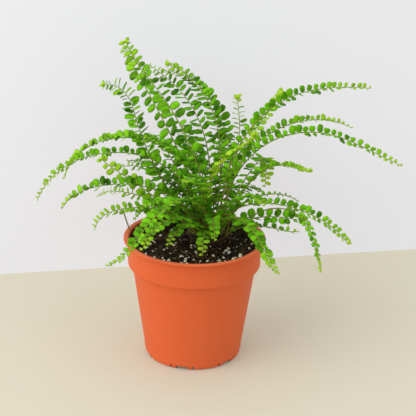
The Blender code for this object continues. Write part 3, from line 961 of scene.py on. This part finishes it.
# Frequency, offset and share of the broad lumps, the crumbs and the grit.
CRUMB_LAYERS = ((60, (0, 0, 0), 0.9), (260, (7, 3, 1), 0.6), (700, (1, 9, 4), 0.25))
CROWN_CRUMB = 1.4 * MM
CROWN_EDGE = 2.2 * MM  # Longer edges of the crown are split, so that it can crumble.
CROWN_FOOT = 0.05  # Share of the crown's height, from below, that stays as it is.
CROWN_MARGIN = 0.4 * MM  # The crown's lowest band, which carries no threads.


def ring_profile(node):
    """Radius and height of each row of a turned CAD solid, from its merged points."""
    rows = {}
    for vert in frame["nodes"][node].data.vertices:
        height = round(vert.co.z, 5)
        rows[height] = max(rows.get(height, 0.0), vert.co.xy.length)
    return sorted((height, radius) for height, radius in rows.items())


def crumbly(place, height):
    """How far the potting mix rises at a place: broad lumps, crumbs and grit."""
    return height * sum(noise.noise(place * frequency + Vector(offset)) * share
                        for frequency, offset, share in CRUMB_LAYERS)


def mark_lying(mesh, test):
    """Marks the places of a mesh on which small shapes may lie."""
    lying = mesh.attributes.new("lying", "FLOAT", "POINT")
    for vert in mesh.vertices:
        lying.data[vert.index].value = float(test(vert.co))


def soil_mesh(settings):
    """A closed body of potting mix with a crumbly top, inside its CAD solid's outline."""
    profile = ring_profile("soil")
    rim_height = profile[-1][0]
    rim_radius = max(radius for _, radius in profile)
    solid = frame["nodes"]["soil"].data
    shape = BVHTree.FromPolygons([v.co for v in solid.vertices],
                                 [p.vertices for p in solid.polygons])
    above, down = rim_height + 10 * MM, Vector((0, 0, -1))
    middle = shape.ray_cast(Vector((0.1 * MM, 0, above)), down)[0].z
    rings, steps, around = SOIL_RINGS, SOIL_STEPS, turns(SOIL_STEPS)
    verts, faces = [(0, 0, middle)], []
    for ring in range(1, rings + 1):
        radius = rim_radius * ring / rings
        reach = min(radius, rim_radius - SOIL_GAP)
        for cosine, sine in around:
            place = Vector((radius * cosine, radius * sine, 0))
            over = Vector((reach * cosine, reach * sine, above))
            place.z = shape.ray_cast(over, down)[0].z
            calm = min(1.0, (rings - ring + 1) / SOIL_CALM)
            place.z += calm * crumbly(place, settings.crumb_height)
            verts.append(tuple(place))
    lower = [row for row in reversed(profile) if row[0] < middle - 1 * MM]
    for height, radius in lower:
        verts += [(radius * cosine, radius * sine, height) for cosine, sine in around]
    rows = rings + len(lower)
    for step in range(steps):
        after = (step + 1) % steps
        faces.append((0, 1 + step, 1 + after))
        for row in range(rows - 1):
            a, b = 1 + row * steps, 1 + (row + 1) * steps
            faces.append((a + step, b + step, b + after, a + after))
    last = 1 + (rows - 1) * steps
    faces.append(tuple(last + step for step in reversed(range(steps))))
    mesh = mesh_from("potting_mix", verts, faces)
    reach, low = rim_radius - SOIL_BORDER, middle - SOIL_DEPTH
    mark_lying(mesh, lambda place: place.z > low and place.xy.length < reach)
    return mesh


def lump_mesh(name, seed, stretch, roughness):
    """A small irregular grain, about one unit across."""
    bm = bmesh.new()
    bmesh.ops.create_icosphere(bm, subdivisions=2, radius=0.5)
    for vert in bm.verts:
        push = noise.noise(vert.co * 2.6 + Vector((seed, 0, 0)))
        vert.co *= 1 + roughness * push
        vert.co = Vector(a * b for a, b in zip(vert.co, stretch))
    mesh = bpy.data.meshes.new(name)
    bm.to_mesh(mesh)
    bm.free()
    mesh.shade_smooth()
    return mesh


def thread_mesh(name, seed, radius, curve):
    """A curved thread or old stalk, one unit long, with closed ends."""
    shape = random.Random(seed)
    sides, parts = 5, 6
    bend, lean = shape.uniform(-curve, curve), shape.uniform(-curve, curve)
    verts, faces = [], []
    for part in range(parts + 1):
        t = part / parts - 0.5
        centre = Vector((t, bend * (t * t - 0.25), lean * (t * t * t) + 0.1 * curve))
        verts += [centre + Vector((0, cosine, sine)) * radius for cosine, sine in turns(sides)]
    for part in range(parts):
        for side in range(sides):
            after = (side + 1) % sides
            a, b = part * sides, (part + 1) * sides
            faces.append((a + side, b + side, b + after, a + after))
    faces.append(tuple(range(sides)))
    faces.append(tuple(parts * sides + side for side in reversed(range(sides))))
    return mesh_from(name, verts, faces)


def scatter_tree():
    """Lays small shapes over the marked part of a surface, thicker towards one place."""
    tree, wire, get, result = new_group("scatter", "GeometryNodeTree", {
        "Geometry": "Geometry", "Shapes": "Collection", "Shape Count": 3, "Density": 20000.0,
        "Smallest": 1.0 * MM, "Largest": 3.0 * MM, "Thickest At": (0, 0, 0), "Thick Reach": 0.05,
        "Thin Share": 0.2, "Tilt": 0.4, "Seed": 1, "Finish": "Material"},
        {"Geometry": "Geometry"})
    draw = random_draws(wire, get["Seed"])
    away = wire.out(wire.add("ShaderNodeVectorMath", {
        0: wire.take("GeometryNodeInputPosition"), 1: get["Thickest At"]},
        operation="DISTANCE"), "Value")
    near = wire.ramp(wire.math("DIVIDE", away, get["Thick Reach"]),
                     0.0, 1.0, 1.0, get["Thin Share"])
    density = wire.times(wire.times(get["Density"], near), wire.named("lying"))
    spread = wire.add("GeometryNodeDistributePointsOnFaces", {
        "Mesh": get["Geometry"], "Density": density, "Seed": get["Seed"]},
        distribute_method="RANDOM")
    lean = wire.take("ShaderNodeCombineXYZ", {
        "X": draw(-1.0, 1.0, 1), "Y": draw(-1.0, 1.0, 2), "Z": 0.0})
    spin = wire.take("ShaderNodeCombineXYZ", {"X": 0.0, "Y": 0.0, "Z": draw(0.0, math.tau, 3)})
    rotation = wire.take("FunctionNodeEulerToRotation", {
        "Euler": wire.vector("ADD", wire.scaled(lean, get["Tilt"]), spin)})
    size = wire.plus(get["Smallest"], wire.times(
        wire.minus(get["Largest"], get["Smallest"]), wire.math("POWER", draw(0.0, 1.0, 4), 3.2)))
    laid = picked_shapes(wire, wire.out(spread, "Points"), get["Shapes"],
                         wire.minus(get["Shape Count"], 1.0), draw, 5, rotation, size)
    laid = stored(wire, laid, "tone", draw(0.0, 1.0, 6))
    real = wire.take("GeometryNodeRealizeInstances", {"Geometry": laid})
    wire.feed(result.inputs["Geometry"], wire.take("GeometryNodeSetMaterial", {
        "Geometry": real, "Material": get["Finish"]}))
    return tree


def laid_over(name, surface, tree, shapes, slot, feeds):
    """One piece made of many small shapes that lie on a surface."""
    templates = template_collection(name + "_shapes", shapes)
    piece = add_object(name, surface.copy())
    grown(piece, tree, {"Shapes": templates, "Shape Count": len(shapes), **feeds})
    settle(piece, slot)
    clear_templates(templates)


def lump_shapes(name, seed, seed_step, stretches, roughness):
    """Grains of a few proportions, for scattering."""
    return [lump_mesh(f"{name}_{i}", seed + i * seed_step, stretch, roughness)
            for i, stretch in enumerate(stretches)]


class FERN_OT_potting_mix(bpy.types.Operator):
    """Fill the pot with dark crumbly mix and lay perlite, bark and threads on it"""
    bl_idname = "fern.potting_mix"
    bl_label = "Fill with potting mix"

    def execute(self, context):
        settings = context.scene.fern_soil
        surface = soil_mesh(settings)
        surface.materials.append(mix_material(settings))
        soil = add_object("potting_mix", surface)
        settle(soil, "potting_mix", "soil")
        tree = scatter_tree()
        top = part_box("soil")[1].z
        grains = lump_shapes(
            "grain", 0, 3.1, ((1, 0.9, 0.8), (1, 0.7, 0.6), (0.8, 0.9, 0.7)), 0.55)
        laid_over("perlite_grains", surface, tree, grains, "potting_mix", {
            "Density": settings.perlite_density, "Smallest": 0.6 * MM,
            "Largest": settings.perlite_size, "Thickest At": (*PERLITE_HEART, top),
            "Thick Reach": 66 * MM, "Thin Share": 0.24, "Tilt": 3.0, "Seed": 11,
            "Finish": perlite_material(settings)})
        crumbs = lump_shapes(
            "crumb", 40, 2.3, ((1, 0.8, 0.6), (1, 0.5, 0.35), (0.9, 0.7, 0.5)), 0.9)
        laid_over("bark_crumbs", surface, tree, crumbs, "potting_mix", {
            "Density": 110000.0, "Smallest": 1.0 * MM, "Largest": 4.2 * MM,
            "Thickest At": (0, 0, top), "Thick Reach": 0.1, "Thin Share": 0.8, "Tilt": 0.9,
            "Seed": 23, "Finish": mix_material(settings)})
        chips = lump_shapes(
            "chip", 70, 1.7, ((1, 0.45, 0.18), (1, 0.3, 0.22), (0.8, 0.5, 0.15)), 0.6)
        threads = [thread_mesh(f"thread_{i}", i, 0.035, 0.5) for i in range(3)]
        laid_over("bark_chips", surface, tree, chips + threads, "potting_mix", {
            "Density": 22000.0, "Smallest": 2.0 * MM, "Largest": 8.0 * MM,
            "Thickest At": (0, 0, top), "Thick Reach": 0.1, "Thin Share": 0.8, "Tilt": 0.35,
            "Seed": 37, "Finish": bark_material("bark", settings)})
        reach = DRY_STALK_HEAD - DRY_STALK_FOOT
        twig = thread_mesh("dry_stalk", 3, 0.030, 0.30)
        twig.transform(Matrix.LocRotScale((DRY_STALK_FOOT + DRY_STALK_HEAD) / 2,
                                          reach.to_track_quat("X", "Z"),
                                          Vector((1, 1, 1)) * reach.length))
        twig.materials.append(stalk_material(context.scene.fern_leaf))
        settle(add_object("dry_stalk", twig), "potting_mix")
        return {"FINISHED"}


class FERN_OT_crown(bpy.types.Operator):
    """Build the fibrous crown that every frond rises from"""
    bl_idname = "fern.crown"
    bl_label = "Build crown"

    def execute(self, context):
        settings = context.scene.fern_soil
        mesh = merged_copy("rhizome_crown", "fibrous_crown", 60)
        low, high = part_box("rhizome_crown")
        with edited(mesh) as bm:
            bmesh.ops.triangulate(bm, faces=bm.faces)
            long_edges = [edge for edge in bm.edges if edge.calc_length() > CROWN_EDGE]
            bmesh.ops.subdivide_edges(bm, edges=long_edges, cuts=2)
            for vert in bm.verts:
                rise = (vert.co.z - low.z) / (high.z - low.z)
                if rise > CROWN_FOOT:
                    vert.co += Vector((0, 0, 1)) * crumbly(vert.co, CROWN_CRUMB) * rise
            bmesh.ops.triangulate(bm, faces=bm.faces)
        mesh.shade_smooth()
        mesh.materials.clear()
        fibre = bark_material("crown_fibre", settings)
        mesh.materials.append(mix_material(settings))
        mark_lying(mesh, lambda place: place.z > low.z + CROWN_MARGIN)
        crown = add_object("fibrous_crown", mesh)
        settle(crown, "crown_fibre", "rhizome_crown")
        threads = [thread_mesh(f"fibre_{i}", 20 + i, 0.03, 0.7) for i in range(4)]
        laid_over("crown_threads", mesh, bpy.data.node_groups["scatter"], threads, "crown_fibre", {
            "Density": 260000.0, "Smallest": 3 * MM, "Largest": 9 * MM, "Thickest At": (0, 0, 0),
            "Thick Reach": 1.0, "Thin Share": 0.9, "Tilt": 0.7, "Seed": 51, "Finish": fibre})
        return {"FINISHED"}


# ---------------------------------------------------------------- stage

WALL_TURN = math.radians(11.76)
WALL_PLACE = Vector((0, 0.166, 0))
WALL_HALF, WALL_HEIGHT, FLOOR_HALF = 2.4, 1.8, 3.0
FLOOR_DROP = 0.1 * MM  # How far the floor lies under the pot, so that their faces don't fight.
WALL_PAINT, FLOOR_PAINT, FLOOR_GLOW = 0.62, 0.86, 0.13  # Shares of each surface's own colour.
WALL_GLOW = (0.325, 0.322, 0.322)
AIM = Vector((0, 0, 0.12))
KEY_PLACE, KEY_SIZE, KEY_SHARE, KEY_COLOUR = (-1.25, -0.80, 1.30), 2.0, 1.1, (1.0, 0.99, 0.97)
RIM_PLACE, RIM_SIZE, RIM_SHARE, RIM_COLOUR = (0.9, -0.3, 1.2), 0.9, 0.08, (0.97, 0.98, 1.0)
SKY_LEFT, SKY_RIGHT, SKY_COLOUR = 1.30, 0.78, (0.97, 0.98, 1.0)
CAMERA_PLACE = Vector((0.01367, -1.0045, 0.5199))
CAMERA_PITCH = math.radians(21.78)
CAMERA_YAW = math.radians(0.23)
CAMERA_ROLL = math.radians(1.27)
CAMERA_LENS = 124.45


def flat_panel(name, corners, material):
    mesh = bpy.data.meshes.new(name)
    mesh.from_pydata([tuple(corner) for corner in corners], [], [(0, 1, 2, 3)])
    mesh.materials.append(material)
    add_object(name, mesh)


def soft_light(name, place, size, power, colour):
    light = bpy.data.lights.new(name, "AREA")
    light.shape = "DISK"
    light.size = size
    light.energy = power
    light.color = colour
    lamp = add_object(name, light)
    lamp.location = place
    lamp.rotation_euler = (AIM - Vector(place)).to_track_quat("-Z", "Y").to_euler()


def even_light(strength):
    """Light from all round, stronger on the left."""
    world = bpy.data.worlds.new("studio_fill")
    world.use_nodes = True
    background = world.node_tree.nodes["Background"]
    wire = Wiring(world.node_tree)
    heading = wire.out(wire.add("ShaderNodeTexCoord"), "Generated")
    across = wire.add("ShaderNodeSeparateXYZ", {"Vector": heading}).outputs["X"]
    wire.feed_all(background, {
        "Color": SKY_COLOUR,
        "Strength": wire.ramp(across, -1.0, 1.0, SKY_LEFT * strength, SKY_RIGHT * strength)})
    return world


class FERN_OT_stage(bpy.types.Operator):
    """Set the pale floor and wall, the soft studio lights and the camera"""
    bl_idname = "fern.stage"
    bl_label = "Set stage"

    def execute(self, context):
        settings = context.scene.fern_stage
        floor = stage_material("studio_floor", [FLOOR_PAINT * c for c in settings.floor],
                               [FLOOR_GLOW * c for c in settings.floor], False)
        wall = stage_material("studio_wall", [WALL_PAINT * c for c in settings.wall],
                              WALL_GLOW, True)
        flat_panel("studio_floor", [
            (FLOOR_HALF * x, FLOOR_HALF * y, -FLOOR_DROP)
            for x, y in ((-1, -1), (1, -1), (1, 1), (-1, 1))], floor)
        along = Matrix.Rotation(WALL_TURN, 3, "Z") @ Vector((1, 0, 0)) * WALL_HALF
        left, right, top = WALL_PLACE - along, WALL_PLACE + along, Vector((0, 0, WALL_HEIGHT))
        flat_panel("studio_wall", (left, right, right + top, left + top), wall)
        soft_light("key_light", KEY_PLACE, KEY_SIZE, settings.key_power * KEY_SHARE, KEY_COLOUR)
        soft_light("rim_light", RIM_PLACE, RIM_SIZE, settings.key_power * RIM_SHARE, RIM_COLOUR)
        context.scene.world = even_light(settings.sky)
        context.scene.view_settings.view_transform = "Standard"
        lens = bpy.data.cameras.new("camera")
        lens.lens = CAMERA_LENS
        lens.sensor_width = 36
        camera = add_object("camera", lens)
        turn = (Matrix.Rotation(CAMERA_YAW, 4, "Z")
                @ Matrix.Rotation(math.pi / 2 - CAMERA_PITCH, 4, "X")
                @ Matrix.Rotation(CAMERA_ROLL, 4, "Z"))
        camera.matrix_world = Matrix.Translation(CAMERA_PLACE) @ turn
        context.scene.camera = camera
        return {"FINISHED"}


# ---------------------------------------------------------------- add-on

OPERATORS = (FERN_OT_pot, FERN_OT_potting_mix, FERN_OT_crown, FERN_OT_fronds, FERN_OT_stage)
SETTINGS = {"fern_pot": FernPotSettings, "fern_soil": FernSoilSettings,
            "fern_leaf": FernLeafSettings, "fern_stage": FernStageSettings}


class FERN_PT_panel(bpy.types.Panel):
    """Sizes, colours and steps of the potted fern"""
    bl_idname = "FERN_PT_panel"
    bl_label = "Potted fern"
    bl_space_type = "VIEW_3D"
    bl_region_type = "UI"
    bl_category = "Fern"

    def draw(self, context):
        layout = self.layout
        for name, group in SETTINGS.items():
            box = layout.box()
            box.label(text=group.__doc__)
            for label in group.__annotations__:
                box.prop(getattr(context.scene, name), label)
        for operator in OPERATORS:
            layout.operator(operator.bl_idname)


def register():
    for group in SETTINGS.values():
        bpy.utils.register_class(group)
    for operator in OPERATORS:
        bpy.utils.register_class(operator)
    bpy.utils.register_class(FERN_PT_panel)
    for name, group in SETTINGS.items():
        setattr(bpy.types.Scene, name, bpy.props.PointerProperty(type=group))


def unregister():
    for name in SETTINGS:
        delattr(bpy.types.Scene, name)
    bpy.utils.unregister_class(FERN_PT_panel)
    for group in (*OPERATORS, *SETTINGS.values()):
        bpy.utils.unregister_class(group)


def main():
    register()
    bpy.ops.fern.pot()
    bpy.ops.fern.potting_mix()
    bpy.ops.fern.crown()
    bpy.ops.fern.fronds()
    bpy.ops.fern.stage()


if __name__ == "__main__":
    main()
